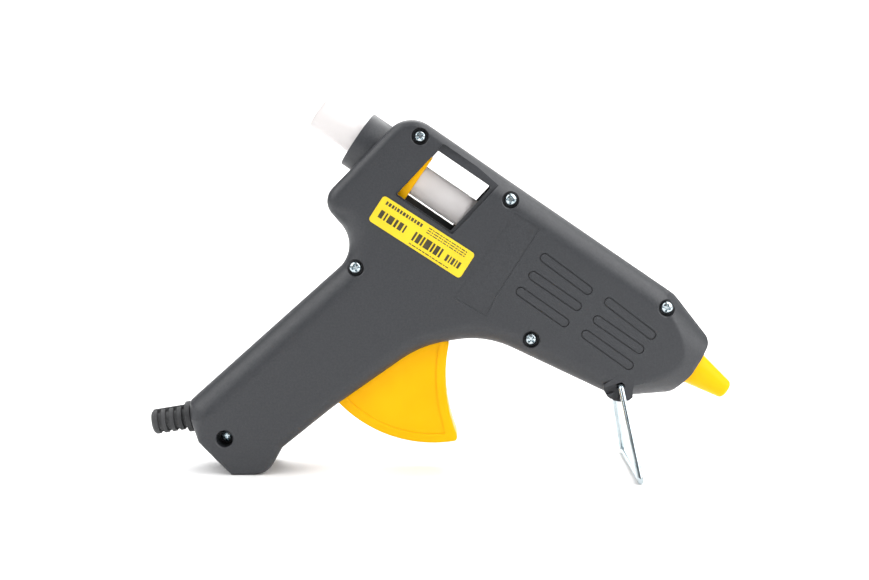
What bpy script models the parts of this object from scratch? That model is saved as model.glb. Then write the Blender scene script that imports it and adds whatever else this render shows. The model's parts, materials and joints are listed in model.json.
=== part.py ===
"""Hot-melt glue gun, standing on its heel and its folding wire stand.

Sizes are in millimetres until MM turns them into metres. Most pieces are described in the barrel
frame: u runs forward along the glue stick, y to the gun's left, v up, and the origin is the nozzle
tip. The barrel frame is an empty that tilts the whole gun nose down.
"""

import math

import bmesh
import bpy
import numpy as np
from mathutils import Matrix, Vector
from mathutils.geometry import delaunay_2d_cdt

MM = 0.001

# Driving dimensions of the whole gun
TILT = 34.27              # degrees the barrel points down
TIP_X, TIP_Z = 99.25, 27.8  # nozzle tip in the standing frame
HALF_WIDTH = 14.0         # flat side to middle plane
WALL = 2.0                # housing wall
LEAST_EDGE = 0.4          # edge radius inside the housing's sharper edges
SEAM = 0.15               # each half stops this short of the middle plane
FIT = 0.3                 # gap between pieces that touch
ARC_STEP = 18.0           # degrees per facet on rounded outlines
RIM = 1.2                 # least half-width of a housing half at its edge

# Glue stick and its path
STICK_RADIUS = 5.6
STICK_LENGTH = 100.0
STICK_REAR = -170.2
GUIDE_RADIUS = STICK_RADIUS + 0.35
COLLAR_RADIUS = 10.2
COLLAR_REAR = -154.0
COLLAR_FRONT = -145.3

# Trigger
PIVOT = (-99.0, -34.6)
TRIGGER_HALF = 7.5
HUB_END = 7.7             # hub ends, distance from the middle plane
TRIGGER_REACH = 44.9      # pivot to lower edge
TRIGGER_ANGLES = (-10.5, 53.0)  # lower edge, degrees behind straight down
FINGER_CENTRE = (60.0, -21.7)  # centre of the finger curve, from the pivot in the standing frame
FINGER_RADIUS = 55.6
PULL = 26.0               # degrees
LUG_RADIUS = 26.6
SPRING_ROOM = 5.6         # radius of the gap for the spring between the hubs
CHEEK = (2.2, 4.2)        # fork cheeks, distance from the middle plane

# Feed
CARRIAGE_FRONT = -128.9
CARRIAGE_LENGTH = 15.0
LINK_HALF = 1.5
DRIVE_PIN_RADIUS = 1.2

# Heater and nozzle, along u
CHAMBER = (-74.0, -30.8)
CHAMBER_RADIUS = 8.5
CHAMBER_NOSE = 7.2
CHAMBER_EXIT = 1.7        # bore that the valve's ball closes
SLEEVE = (-88.8, -74.3)
ELEMENT = (-66.0, -44.0)
BALL_RADIUS = 2.2
BALL_CENTRE = -34.7
RIBS = ((-87.0, -85.0, 7.8), (-71.0, -69.0, 8.8), (-41.0, -39.0, 7.5), (-27.6, -25.6, 8.8))
RIB_BOTTOM = -10.5

# Stand
STAND_PIVOT = (-33.0, -18.6)
STAND_WIRE = 1.0          # radius
STAND_TOP_HALF = 15.3
STAND_FOOT_HALF = 26.0
STAND_FOOT_X = 67.2
BOSS_PROUD = 0.05

# Cord entry, in the standing frame
CORD_RADIUS = 3.2
RELIEF_CENTRE = (-87.0, 17.9)
RELIEF_TILT = 9.5
RELIEF_PITCH = 2.85
CLAMP_OFFSET = -21.5

# Housing screws: (u, v, how much deeper the head sits)
SCREWS = (
    (-136.4, 12.8, 0.0), (-99.4, 12.4, 0.0), (-129.6, -35.9, 0.0),
    (-67.0, -22.5, 0.0), (-35.3, 12.1, 0.0), (-133.8, -109.6, 4.0),
)
SCREW_RADIUS = 1.4
SCREW_HEAD = 2.05
SCREW_HEAD_Y = -13.2
SCREW_HEAD_HEIGHT = 2.0
SCREW_TIP_Y = 8.8
WELL_RADIUS = 2.9
POST_RADIUS = 4.2
POST_END = 0.4            # posts stop this short of the middle plane

WINDOW = ((-132.0, -7.5), (-110.2, -7.6), (-107.1, 12.2), (-128.9, 12.2))
WINDOW_RECESS = ((-132.5, -8.1), (-109.0, -8.2), (-105.3, 15.2), (-128.6, 15.2))
RECESS_DEPTH = 1.4

LABEL_CENTRE = (-117.0, -14.65)
LABEL_SIZE = (36.5, 9.9)
LABEL_TURN = 1.5

COS_TILT = math.cos(math.radians(TILT))
SIN_TILT = math.sin(math.radians(TILT))


def turn_down(x, z):
    """A direction of the standing frame (x, z) in the barrel frame (u, v)."""
    return x * COS_TILT - z * SIN_TILT, x * SIN_TILT + z * COS_TILT


def standing(x, z):
    """A point of the standing frame in the barrel frame."""
    return turn_down(x - TIP_X, z - TIP_Z)


# Housing outline: (u, v, corner radius, radius of the edge between side and rim)
OUTLINE = (
    (-144.6, 17.5, 10.0, 3.2),
    (-152.2, -23.6, 6.5, 4.0),
    (-132.1, -30.3, 10.5, 8.0),
    (*standing(-86.5, 24.0), 3.0, 9.0),
    (*standing(-85.3, 17.8), 4.0, 6.0),
    (*standing(-82.1, 11.0), 1.5, 2.0),
    (*standing(-71.0, 0.0), 0.8, 1.5),
    (*standing(-58.8, 0.0), 7.5, 2.0),
    (*standing(-53.7, 9.1), 2.0, 3.0),
    (-109.0, -79.2, 60.0, 4.0),
    (-95.9, -44.6, 36.0, 5.0),
    (-79.3, -30.3, 31.0, 6.0),
    (-31.9, -22.8, 6.0, 6.0),
    (-16.4, -11.1, 4.5, 3.0),
    (-14.9, -2.0, 12.0, 3.0),
    (-15.4, 11.3, 3.5, 3.0),
    (-34.5, 17.4, 12.0, 8.0),
    (-104.0, 17.4, 200.0, 8.0),
    (-126.0, 17.5, 60.0, 4.0),
)

# The nose narrows as an oblique cone between these two ellipses: (u, centre v, half height, half width)
NOSE_FRONT = (-15.0, 0.5, 11.6, 11.5)
NOSE_BACK = (-40.0, -6.1, 25.8, 22.8)
NOSE_END = -50.0

# Bump under the nose that carries the stand's pivot
STAND_BOSS = (
    (-38.0, -21.4), (-37.2, -22.5), (-34.6, -24.0), (-31.5, -23.9), (-29.4, -22.4), (-28.0, -21.0),
    (-27.5, -19.3), (-28.7, -17.7), (-30.6, -13.5), (-36.0, -16.0),
)

COLOURS = {
    "housing": ((0.080, 0.085, 0.092), 0.45, 0.0),
    "yellow_plastic": ((0.95, 0.62, 0.0), 0.35, 0.0),
    "label": ((0.90, 0.75, 0.03), 0.45, 0.0),
    "glue": ((0.88, 0.84, 0.82), 0.25, 0.0),
    "black_plastic": ((0.02, 0.02, 0.022), 0.5, 0.0),
    "soft_rubber": ((0.035, 0.035, 0.04), 0.7, 0.0),
    "silicone": ((0.55, 0.10, 0.05), 0.55, 0.0),
    "zinc": ((0.70, 0.73, 0.75), 0.28, 1.0),
    "spring_steel": ((0.55, 0.55, 0.56), 0.3, 1.0),
    "aluminium_alloy": ((0.75, 0.76, 0.77), 0.4, 1.0),
    "brass": ((0.75, 0.55, 0.22), 0.3, 1.0),
    "ceramic": ((0.82, 0.80, 0.75), 0.6, 0.0),
    "lead_brown": ((0.18, 0.07, 0.03), 0.5, 0.0),
    "lead_blue": ((0.03, 0.12, 0.45), 0.5, 0.0),
}


# ---------------------------------------------------------------- making meshes

def material(slot):
    """The Principled material of a slot, made once."""
    if slot in bpy.data.materials:
        return bpy.data.materials[slot]
    colour, roughness, metallic = COLOURS[slot]
    made = bpy.data.materials.new(slot)
    made.use_nodes = True
    shader = made.node_tree.nodes["Principled BSDF"]
    shader.inputs["Base Color"].default_value = (*colour, 1.0)
    shader.inputs["Roughness"].default_value = roughness
    shader.inputs["Metallic"].default_value = metallic
    return made


def solid(points, faces):
    """An object from points in millimetres and faces, with its faces turned outwards."""
    mesh = bpy.data.meshes.new("solid")
    mesh.from_pydata([Vector(p) * MM for p in points], [], faces)
    bm = bmesh.new()
    bm.from_mesh(mesh)
    bmesh.ops.recalc_face_normals(bm, faces=bm.faces)
    bm.to_mesh(mesh)
    bm.free()
    made = bpy.data.objects.new("solid", mesh)
    bpy.context.scene.collection.objects.link(made)
    return made


def finish(piece, name, slot, parent=None, origin=(0.0, 0.0, 0.0)):
    """Name a piece, give it its material, and put its origin at a point of its parent's frame."""
    piece.name = name
    piece.data.name = name
    piece.data.materials.clear()
    piece.data.materials.append(material(slot))
    shift = Vector(origin) * MM
    piece.data.transform(Matrix.Translation(-shift))
    piece.location = shift
    piece.parent = parent
    piece.data.shade_smooth()
    piece.data.set_sharp_from_angle(angle=math.radians(35))
    return piece


def boolean(body, operation, tools):
    """Cut tools from body or join them to it, and remove them."""
    for tool in tools:
        step = body.modifiers.new(operation, 'BOOLEAN')
        step.operation = operation
        step.object = tool
    bpy.context.view_layer.update()
    evaluated = body.evaluated_get(bpy.context.evaluated_depsgraph_get())
    mesh = bpy.data.meshes.new_from_object(evaluated)
    body.modifiers.clear()
    body.data = mesh
    for tool in tools:
        bpy.data.objects.remove(tool)
    return body


def prism(outline, low, high):
    """An outline in (u, v) extruded from y = low to y = high."""
    count = len(outline)
    points = [(u, y, v) for y in (low, high) for u, v in outline]
    faces = [list(range(count)), list(range(count, 2 * count))]
    faces += [(i, (i + 1) % count, (i + 1) % count + count, i + count) for i in range(count)]
    return solid(points, faces)


def block(low, high):
    """A box between two corners."""
    outline = ((low[0], low[2]), (high[0], low[2]), (high[0], high[2]), (low[0], high[2]))
    return prism(outline, low[1], high[1])


def turned(profile, placement=Matrix(), sides=20, bored=True):
    """A profile of (along, radius) turned about the u axis, then placed. A bored one is a closed
    loop; another one starts and ends on the axis."""
    points, rings = [], []
    for along, radius in profile:
        if radius == 0.0:
            rings.append([len(points)])
            points.append((along, 0.0, 0.0))
            continue
        rings.append(list(range(len(points), len(points) + sides)))
        for k in range(sides):
            angle = 2 * math.pi * (k + 0.5) / sides
            points.append((along, radius * math.cos(angle), radius * math.sin(angle)))
    faces = []
    for here, there in zip(rings, rings[1:] + rings[:1] if bored else rings[1:]):
        for k in range(sides):
            m = (k + 1) % sides
            if len(here) == 1:
                faces.append((here[0], there[k], there[m]))
            elif len(there) == 1:
                faces.append((here[k], there[0], here[m]))
            else:
                faces.append((here[k], there[k], there[m], here[m]))
    return solid([placement @ Vector(p) for p in points], faces)


def rod(start, end, radius, sides=16):
    """A cylinder between two points."""
    along = Vector(end) - Vector(start)
    turn = along.to_track_quat('X', 'Z').to_matrix().to_4x4()
    profile = ((0, 0.0), (0, radius), (along.length, radius), (along.length, 0.0))
    return turned(profile, Matrix.Translation(start) @ turn, sides, bored=False)


def cross_rod(place, radius, low, high, sides=16):
    """A cylinder along y at a place (u, v)."""
    return rod((place[0], low, place[1]), (place[0], high, place[1]), radius, sides)


def wire(route, radius, closed=False, resolution=1):
    """A round wire along a route of points."""
    curve = bpy.data.curves.new("wire", 'CURVE')
    curve.dimensions = '3D'
    curve.bevel_depth = radius * MM
    curve.bevel_resolution = resolution
    curve.use_fill_caps = not closed
    spline = curve.splines.new('POLY')
    spline.points.add(len(route) - 1)
    for point, place in zip(spline.points, route):
        point.co = (*(Vector(place) * MM), 1.0)
    spline.use_cyclic_u = closed
    guide = bpy.data.objects.new("wire", curve)
    bpy.context.scene.collection.objects.link(guide)
    mesh = bpy.data.meshes.new_from_object(guide)
    bpy.data.objects.remove(guide)
    made = bpy.data.objects.new("wire", mesh)
    bpy.context.scene.collection.objects.link(made)
    return made


def arc(centre, radius, start, end, step=ARC_STEP):
    """Points on an arc, its angles in degrees from the first axis."""
    count = max(1, round(abs(end - start) / step))
    angles = [math.radians(start + (end - start) * k / count) for k in range(count + 1)]
    return [(centre[0] + radius * math.cos(a), centre[1] + radius * math.sin(a)) for a in angles]


def rounded(corners, step=ARC_STEP):
    """Outline points of a polygon with rounded corners, each with its edge radius."""
    points = []
    count = len(corners)
    for i, (u, v, radius, edge) in enumerate(corners):
        here = Vector((u, v))
        back = (Vector(corners[i - 1][:2]) - here).normalized()
        ahead = (Vector(corners[(i + 1) % count][:2]) - here).normalized()
        half = back.angle(ahead) / 2
        centre = here + (back + ahead).normalized() * radius / math.sin(half)
        start = here + back * radius / math.tan(half) - centre
        turn = math.pi - 2 * half
        if back.cross(ahead) > 0:
            turn = -turn
        steps = max(1, round(math.degrees(abs(turn)) / step))
        for k in range(steps + 1):
            spoke = start.copy()
            spoke.rotate(Matrix.Rotation(turn * k / steps, 2))
            points.append((*(centre + spoke), edge))
    return points


def subdivided(outline, longest):
    """The same outline with points added where two neighbours are further apart than longest."""
    points = []
    for i, here in enumerate(outline):
        there = outline[(i + 1) % len(outline)]
        steps = max(1, math.ceil(math.dist(here[:2], there[:2]) / longest))
        for k in range(steps):
            points.append(tuple(a + (b - a) * k / steps for a, b in zip(here, there)))
    return points


# ---------------------------------------------------------------- housing

def edge_distance(points, outline):
    """Distance of each point to the outline, and the edge radius at the nearest place on it."""
    start = np.array([p[:2] for p in outline])
    end = np.roll(start, -1, axis=0)
    radius = np.array([p[2] for p in outline])
    next_radius = np.roll(radius, -1)
    span = end - start
    places = np.array(points)[:, None, :]
    share = ((places - start) * span).sum(2) / np.maximum((span ** 2).sum(1), 1e-9)
    share = np.clip(share, 0.0, 1.0)
    gap = np.linalg.norm(places - start - share[..., None] * span, axis=2)
    nearest = gap.argmin(1)
    rows = np.arange(len(points))
    share = share[rows, nearest]
    return gap[rows, nearest], radius[nearest] * (1 - share) + next_radius[nearest] * share


def nose_width(u, v):
    """Half-width of the oblique cone that narrows the nose."""
    t = (u - NOSE_FRONT[0]) / (NOSE_BACK[0] - NOSE_FRONT[0])
    centre, height, width = (a + t * (b - a) for a, b in zip(NOSE_FRONT[1:], NOSE_BACK[1:]))
    cone = width * np.sqrt(np.clip(1 - ((v - centre) / height) ** 2, 0.0, 1.0))
    return np.where(u > NOSE_END, cone, 2 * HALF_WIDTH)


def half_width(points, outline, wall):
    """Half-width of the housing, or of its cavity when wall isn't 0, at points of the side view."""
    distance, edge = edge_distance(points, outline)
    if wall:
        edge = np.maximum(edge, wall + LEAST_EDGE)
    inner = edge - wall
    depth = np.clip(edge - distance, 0.0, inner)
    pillow = HALF_WIDTH - edge + np.sqrt(inner ** 2 - depth ** 2)
    places = np.array(points)
    cone = nose_width(places[:, 0], places[:, 1]) - 1.1 * wall
    return np.maximum(np.minimum(pillow, cone), RIM)


def inset(outline, wall, angle):
    """Outline points moved inwards to where the edge has turned by an angle."""
    count = len(outline)
    moved, depths = [], []
    for i, (u, v, edge) in enumerate(outline):
        here = Vector((u, v))
        along = (here - Vector(outline[i - 1][:2])).normalized()
        along += (Vector(outline[(i + 1) % count][:2]) - here).normalized()
        inward = Vector((-along.y, along.x)).normalized()
        if wall:
            edge = max(edge, wall + LEAST_EDGE)
        depth = edge - (edge - wall) * math.cos(angle)
        moved.append((u + inward.x * depth, v + inward.y * depth))
        depths.append(depth)
    distance, _ = edge_distance(moved, outline)
    kept = []
    for place, gap, depth in zip(moved, distance, depths):
        clear = all(math.dist(place, other) > 0.5 for other in kept)
        if gap > 0.97 * depth - 0.02 and clear:
            kept.append(place)
    return kept


def flat_limit():
    """Points on the curve where the nose cone meets the flat side."""
    points = []
    for u in np.linspace(-18.5, -33.0, 7):
        t = (u - NOSE_FRONT[0]) / (NOSE_BACK[0] - NOSE_FRONT[0])
        centre, height, width = (a + t * (b - a) for a, b in zip(NOSE_FRONT[1:], NOSE_BACK[1:]))
        if width > HALF_WIDTH:
            reach = height * math.sqrt(1 - (HALF_WIDTH / width) ** 2)
            points += [(u, centre + reach), (u, centre - reach)]
    return points


def half_body(outline, wall, seam, angles):
    """One half of the housing's outer form, or of its cavity, on the -y side."""
    rim = [p[:2] for p in outline] if wall == 0 else inset(outline, wall, 0.0)
    inner = [p for angle in angles for p in inset(outline, wall, math.radians(angle))]
    distance, _ = edge_distance(flat_limit(), outline)
    inner += [p for p, gap in zip(flat_limit(), distance) if gap > 3.0]
    places = [Vector(p) for p in rim + inner]
    flat, _, faces, *_ = delaunay_2d_cdt(places, [], [list(range(len(rim)))], 1, 1e-4)
    widths = half_width([tuple(p) for p in flat], outline, wall)
    points = [(p.x, -w, p.y) for p, w in zip(flat, widths)]
    count = len(rim)
    points += [(u, -seam, v) for u, v in rim]
    base = len(flat)
    faces = [list(f) for f in faces]
    faces.append([base + i for i in range(count)])
    faces += [(i, (i + 1) % count, base + (i + 1) % count, base + i) for i in range(count)]
    return solid(points, faces)


def mirrored(piece):
    """Turn a piece on the -y side into its counterpart on the +y side."""
    piece.data.transform(Matrix.Scale(-1, 4, (0, 1, 0)))
    piece.data.flip_normals()
    return piece


def relief_frame():
    """Placement of the cord entry: its own u axis points out of the handle."""
    u, v = standing(*RELIEF_CENTRE)
    along = turn_down(-math.cos(math.radians(RELIEF_TILT)), -math.sin(math.radians(RELIEF_TILT)))
    turn = Vector((along[0], 0.0, along[1])).to_track_quat('X', 'Y').to_matrix().to_4x4()
    return Matrix.Translation((u, 0.0, v)) @ turn


def clamp_post(side):
    """Place (u, v) of one post of the cord clamp, side -1 or 1."""
    place = relief_frame() @ Vector((CLAMP_OFFSET, 0.0, 0.0))
    along = relief_frame().to_3x3() @ Vector((1.0, 0.0, 0.0))
    return place.x - side * 6.6 * along.z, place.z + side * 6.6 * along.x


def kept_in_cavity(side):
    """Posts and ribs that stay when the cavity is cut out of a half, side -1 or 1."""
    low, high = sorted((side * POST_END, side * 20.0))
    kept = [cross_rod(place, POST_RADIUS, low, high) for place in SCREWS]
    low, high = sorted((side * (HUB_END + FIT), side * 20.0))
    kept.append(cross_rod(PIVOT, 4.0, low, high))
    for rear, front, _ in RIBS:
        kept.append(block((rear, -20.0, RIB_BOTTOM), (front, 20.0, 30.0)))
    if side > 0:
        kept += [cross_rod(clamp_post(s), 2.6, POST_END, 20.0, 12) for s in (-1, 1)]
    return kept


def housing_half(side):
    """One half of the housing, side -1 (right, with the screw wells) or 1 (left)."""
    outline = subdivided(rounded(OUTLINE), 9.0)
    body = half_body(outline, 0.0, SEAM, (30, 60, 90))
    cavity = half_body(outline, WALL, -2.0, (45, 90))
    boss = prism(STAND_BOSS, -HALF_WIDTH - BOSS_PROUD, -SEAM - BOSS_PROUD)
    if side > 0:
        body, cavity, boss = mirrored(body), mirrored(cavity), mirrored(boss)
    boolean(body, 'UNION', [boss])
    boolean(cavity, 'DIFFERENCE', kept_in_cavity(side))
    boolean(body, 'DIFFERENCE', [cavity])

    cuts = [turned(((rear - 0.5, 0.0), (rear - 0.5, bore), (front + 0.5, bore), (front + 0.5, 0.0)),
                   bored=False) for rear, front, bore in RIBS]
    cuts.append(rod((-160, 0, 0), (-141, 0, 0), COLLAR_RADIUS + FIT, 24))
    cuts.append(turned(((-24.5, 0.0), (-24.5, 9.3), (-20.4, 9.3), (-20.4, 8.0), (-14.5, 6.6), (-10, 6.6),
                        (-10, 0.0)), bored=False))
    cuts.append(prism(WINDOW, -20, 20))
    cuts.append(prism(WINDOW_RECESS, *sorted((side * (HALF_WIDTH - RECESS_DEPTH), side * 20))))
    cuts.append(prism(trigger_slot(), -TRIGGER_HALF - 0.4, TRIGGER_HALF + 0.4))
    cuts.append(cross_rod(PIVOT, 2.1, -12.6, 12.6))
    cuts.append(cross_rod(STAND_PIVOT, STAND_WIRE + 0.2, *sorted((side * 9.5, side * 20)), 12))
    cuts.append(turned(((-16, 0.0), (-16, 4.1), (8, 4.1), (8, 0.0)), relief_frame(), 16, bored=False))
    boolean(body, 'DIFFERENCE', cuts)
    wells = []
    for place in SCREWS:
        if side < 0:
            seat = SCREW_HEAD_Y + SCREW_HEAD_HEIGHT + place[2]
            wells.append(cross_rod(place, WELL_RADIUS, -20, seat + 0.2, 24))
            wells.append(cross_rod(place, SCREW_RADIUS + 0.3, -12, 2, 12))
        else:
            wells.append(cross_rod(place, SCREW_RADIUS + 0.2, -2, 10, 12))
    if side > 0:
        wells += [cross_rod(clamp_post(s), 1.3, -2, 9, 10) for s in (-1, 1)]
    return boolean(body, 'DIFFERENCE', wells)


def trigger_slot():
    """Slot in the front of the handle, ending on the arc that the trigger's lower edge follows."""
    low = Vector(PIVOT) + Vector((-0.18, -0.984)) * (TRIGGER_REACH + 0.5)
    across = Vector((0.984, -0.18))
    return (tuple(low + across * 10), (-92.0, -66.0), (-82.0, -43.0), (-87.2, -36.8), (-93.0, -32.0),
            (-117.0, -60.0), tuple(low - across * 10))


# ---------------------------------------------------------------- trigger and feed

def from_pivot(x, z):
    """A point given from the trigger's pivot in the standing frame, in the barrel frame."""
    u, v = turn_down(x, z)
    return PIVOT[0] + u, PIVOT[1] + v


def trigger_outline(shrink, open_rear):
    """Side view of the trigger, or of its hollow when shrink isn't 0."""
    radius = FINGER_RADIUS + shrink
    finger = arc(FINGER_CENTRE, radius, 168.0, 202.0 - shrink * 1.8, 6.0)
    reach = TRIGGER_REACH - shrink
    low, high = TRIGGER_ANGLES
    lower = arc((0.0, 0.0), reach, -90.0 - low - shrink * 1.5, -90.0 - high - open_rear * 8, 7.0)
    rear = ((-20.0 - open_rear * 10, -8.0), (-4.6, 2.0))
    return [from_pivot(x, z) for x, z in (*finger, *lower, *rear)]


def drive_pin_place():
    """Drive pin at the top of the trigger's fork."""
    swing = math.radians(PULL / 2)
    return PIVOT[0] - LUG_RADIUS * math.sin(swing), PIVOT[1] + LUG_RADIUS * math.cos(swing)


def fork_cheek(low, high):
    """One cheek of the fork that carries the drive pin."""
    top = drive_pin_place()
    across = Vector((top[1] - PIVOT[1], PIVOT[0] - top[0])).normalized()
    angle = math.degrees(math.atan2(across.y, across.x))
    outline = arc(PIVOT, 4.5, angle + 180.0, angle + 360.0, 30.0) + arc(top, 2.3, angle, angle + 180.0, 30.0)
    return prism(outline, low, high)


def make_trigger(barrel):
    body = prism(trigger_outline(0.0, 0), -TRIGGER_HALF, TRIGGER_HALF)
    hollow = prism(trigger_outline(2.0, 1), -TRIGGER_HALF + 1.8, TRIGGER_HALF - 1.8)
    boolean(body, 'DIFFERENCE', [hollow, cross_rod(PIVOT, SPRING_ROOM, -2.3, 2.3)])
    hubs = [cross_rod(PIVOT, 4.7, *sorted((side * 2.4, side * HUB_END))) for side in (-1, 1)]
    cheeks = [fork_cheek(*CHEEK), fork_cheek(-CHEEK[1], -CHEEK[0])]
    boolean(body, 'UNION', hubs + cheeks)
    bores = [cross_rod(PIVOT, 2.1, -20, 20)]
    bores.append(cross_rod(drive_pin_place(), DRIVE_PIN_RADIUS + 0.1, -20, 20, 12))
    boolean(body, 'DIFFERENCE', bores)
    finish(body, "trigger", "yellow_plastic", barrel, (PIVOT[0], 0, PIVOT[1]))

    pin = cross_rod(drive_pin_place(), DRIVE_PIN_RADIUS, -CHEEK[1], CHEEK[1], 12)
    finish(pin, "drive_pin", "zinc", barrel, (PIVOT[0], 0, PIVOT[1]))
    finish(cross_rod(PIVOT, 1.8, -12.3, 12.3), "trigger_pivot_pin", "zinc", barrel, (PIVOT[0], 0, PIVOT[1]))


def make_trigger_spring(barrel):
    """Torsion spring around the pivot pin, one leg inside the trigger and one behind it."""
    turns, coil, pitch = 2.5, 3.0, 1.05
    count = round(turns * 12)
    route = [(*from_pivot(-6.0, -17.0), -1.3)]
    for k in range(count + 1):
        angle = math.radians(160.0) + 2 * math.pi * turns * k / count
        route.append((PIVOT[0] + coil * math.cos(angle), PIVOT[1] + coil * math.sin(angle),
                      -1.3 + pitch * turns * k / count))
    route.append((PIVOT[0] + 13.0, PIVOT[1] + 4.5, 1.35))
    spring = wire([(u, y, v) for u, v, y in route], 0.35)
    finish(spring, "trigger_spring", "spring_steel", barrel, (PIVOT[0], 0, PIVOT[1]))


def make_feed(barrel):
    rear = CARRIAGE_FRONT - CARRIAGE_LENGTH
    carriage = block((rear, -8.5, -12.0), (CARRIAGE_FRONT, 8.5, 8.1))
    boolean(carriage, 'UNION', [block((CARRIAGE_FRONT - 3.2, -9.0, -8.0), (CARRIAGE_FRONT + 0.01, 9.0, 9.2))])
    bore = rod((rear - 5, 0, 0), (CARRIAGE_FRONT + 5, 0, 0), GUIDE_RADIUS, 24)
    slot = block((rear - 5, -LINK_HALF - FIT, -15), (CARRIAGE_FRONT + 5, LINK_HALF + FIT, -3))
    boolean(carriage, 'DIFFERENCE', [bore, slot, cross_rod((-136, -9.5), 1.1, -20, 20, 12)])
    finish(carriage, "feed_carriage", "yellow_plastic", barrel)
    finish(cross_rod((-136, -9.5), 1.0, -7.5, 7.5, 12), "link_pin", "zinc", barrel)

    back, front = rear - 1.2, rear - FIT
    plate = turned(((back, GUIDE_RADIUS), (back, 8.0), (front, 8.0), (front, GUIDE_RADIUS)))
    finish(plate, "grip_plate", "spring_steel", barrel)

    pin_u, pin_v = drive_pin_place()
    notch = DRIVE_PIN_RADIUS + 0.3
    outline = ((-141.0, -11.7), (pin_u + 3.6, -11.7), (pin_u + 3.6, -6.1), (pin_u + notch, -6.1),
               (pin_u + notch, pin_v - notch), (pin_u - notch, pin_v - notch), (pin_u - notch, -6.1),
               (-141.0, -6.1))
    link = prism(outline, -LINK_HALF, LINK_HALF)
    boolean(link, 'DIFFERENCE', [cross_rod((-136, -9.5), 1.1, -5, 5, 12)])
    finish(link, "push_link", "black_plastic", barrel)

    front = STICK_REAR + STICK_LENGTH
    profile = ((STICK_REAR, 0.0), (STICK_REAR, 5.0), (STICK_REAR + 0.6, STICK_RADIUS),
               (front - 0.6, STICK_RADIUS), (front, 5.0), (front, 0.0))
    finish(turned(profile, sides=24, bored=False), "glue_stick", "glue", barrel)


def make_inlet(barrel):
    profile = ((COLLAR_REAR, GUIDE_RADIUS + 0.9), (COLLAR_REAR, COLLAR_RADIUS), (COLLAR_FRONT, COLLAR_RADIUS),
               (COLLAR_FRONT, GUIDE_RADIUS), (COLLAR_REAR + 2.5, GUIDE_RADIUS))
    finish(turned(profile, sides=32), "inlet_collar", "housing", barrel)


# ---------------------------------------------------------------- heater and nozzle

def ring(rear, front, bore, radius, sides=20):
    """A plain ring about the barrel axis."""
    return turned(((rear, bore), (rear, radius), (front, radius), (front, bore)), sides=sides)


def coil(rear, front, radius, turns, thickness):
    """A compression spring about the barrel axis."""
    count = turns * 8
    route = []
    for k in range(count + 1):
        angle = 2 * math.pi * turns * k / count
        along = rear + (front - rear) * k / count
        route.append((along, radius * math.cos(angle), radius * math.sin(angle)))
    return wire(route, thickness)


def make_heater(barrel):
    rear, front = CHAMBER
    profile = ((rear, GUIDE_RADIUS), (rear, CHAMBER_RADIUS), (-43.5, CHAMBER_RADIUS), (-42.4, CHAMBER_NOSE),
               (front, CHAMBER_NOSE), (front, 4.1),
               (front - 5.6, 4.1), (front - 5.6, CHAMBER_EXIT), (front - 8.2, CHAMBER_EXIT),
               (front - 12.6, GUIDE_RADIUS))
    finish(turned(profile, sides=24), "melt_chamber", "aluminium_alloy", barrel)
    finish(ring(*SLEEVE, GUIDE_RADIUS, 7.5), "inlet_sleeve", "silicone", barrel)

    ring_wire = [(-79.0, y, v) for y, v in arc((0, 0), 8.1, 0.0, 345.0, 23.0)]
    finish(wire(ring_wire, 0.4), "sleeve_clip", "spring_steel", barrel)

    top = -CHAMBER_RADIUS - FIT
    finish(block((ELEMENT[0], -6.0, top - 4.3), (ELEMENT[1], 6.0, top)), "heating_element", "ceramic", barrel)
    outer = arc((0, 0), CHAMBER_RADIUS + 1.1, 0.0, 180.0)
    inner = arc((0, 0), CHAMBER_RADIUS + FIT, 180.0, 0.0)
    section = [*outer, (-CHAMBER_RADIUS - 1.1, top - 5.4), (-4.0, top - 5.4), (-4.0, top - 4.6),
               (-CHAMBER_RADIUS - FIT, top - 4.6), *inner, (CHAMBER_RADIUS + FIT, top - 4.6),
               (4.0, top - 4.6), (4.0, top - 5.4), (CHAMBER_RADIUS + 1.1, top - 5.4)]
    clamp = prism(section, -59.0, -51.0)
    clamp.data.transform(Matrix(((0, 1, 0, 0), (1, 0, 0, 0), (0, 0, 1, 0), (0, 0, 0, 1))))
    clamp.data.flip_normals()
    finish(clamp, "heater_clamp", "spring_steel", barrel)


def make_nozzle(barrel):
    cover = ((-23.0, 6.2), (-23.0, 8.8), (-20.8, 8.8), (-20.8, 7.3), (-0.6, 3.35), (0.2, 3.0), (0.6, 2.3),
             (0.6, 1.2), (-2.2, 1.35), (-20.0, 5.0))
    finish(turned(cover, sides=28), "nozzle_cover", "yellow_plastic", barrel)
    nozzle = ((-36.2, 2.6), (-36.2, 3.8), (-30.4, 3.8), (-30.4, 6.0), (-23.4, 6.0), (-23.4, 5.4),
              (-20.6, 4.6), (-2.5, 1.05), (-2.5, 0.6), (-17.0, 0.6), (-19.5, 2.6))
    finish(turned(nozzle), "nozzle", "brass", barrel)
    finish(ring(-25.3, -23.3, 6.3, 9.6), "front_ring", "ceramic", barrel)
    half_circle = [(BALL_CENTRE + BALL_RADIUS * math.cos(a), BALL_RADIUS * math.sin(a))
                   for a in np.linspace(math.pi, 0, 9)]
    half_circle[0] = (half_circle[0][0], 0.0)
    half_circle[-1] = (half_circle[-1][0], 0.0)
    finish(turned(half_circle, sides=16, bored=False), "nozzle_ball", "spring_steel", barrel)
    finish(coil(-33.0, -20.3, 1.9, 6, 0.3), "nozzle_spring", "spring_steel", barrel)


# ---------------------------------------------------------------- stand, cord entry, screws, label

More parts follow.
